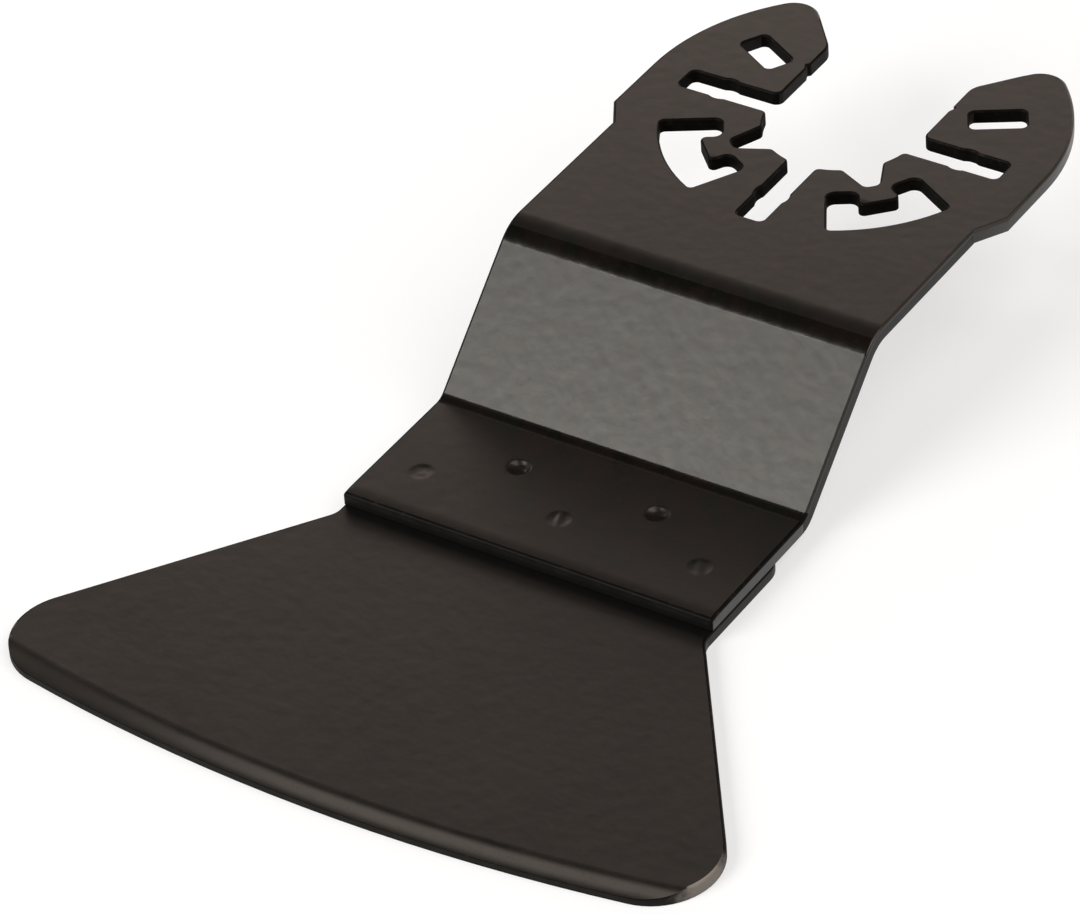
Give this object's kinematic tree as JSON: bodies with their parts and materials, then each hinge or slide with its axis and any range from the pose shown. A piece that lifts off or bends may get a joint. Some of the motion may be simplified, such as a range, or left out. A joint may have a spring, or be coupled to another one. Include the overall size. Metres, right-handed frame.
{
  "type": "oscillating tool scraper blade",
  "caption": "Flared flat scraper blade spot-welded under a Z-bent steel bracket whose open head has slots, notches and hooked holes to fit an oscillating tool.",
  "frame": {"origin": "centre of the arbor opening, in the top face of the bracket's head, which is the face that meets the tool", "axes": "+Z out of the head along the arbor axis, up to the tool; +Y out through the head's open mouth; -Y to the cutting edge; +X across the blade"},
  "size_m": [0.052, 0.0785, 0.0104],
  "materials": {
    "bracket_coating": "semi-gloss black coating on sheet steel",
    "blade_coating": "semi-gloss black coating on sheet steel",
    "weld_mark": "semi-gloss black coating over a spot weld"
  },
  "bodies": {
    "root": {"mount_bracket": "bracket_coating", "scraper_blade": "blade_coating", "weld_front_left": "weld_mark", "weld_front_middle": "weld_mark", "weld_front_right": "weld_mark", "weld_rear_left": "weld_mark", "weld_rear_right": "weld_mark"}
  },
  "joints": []
}
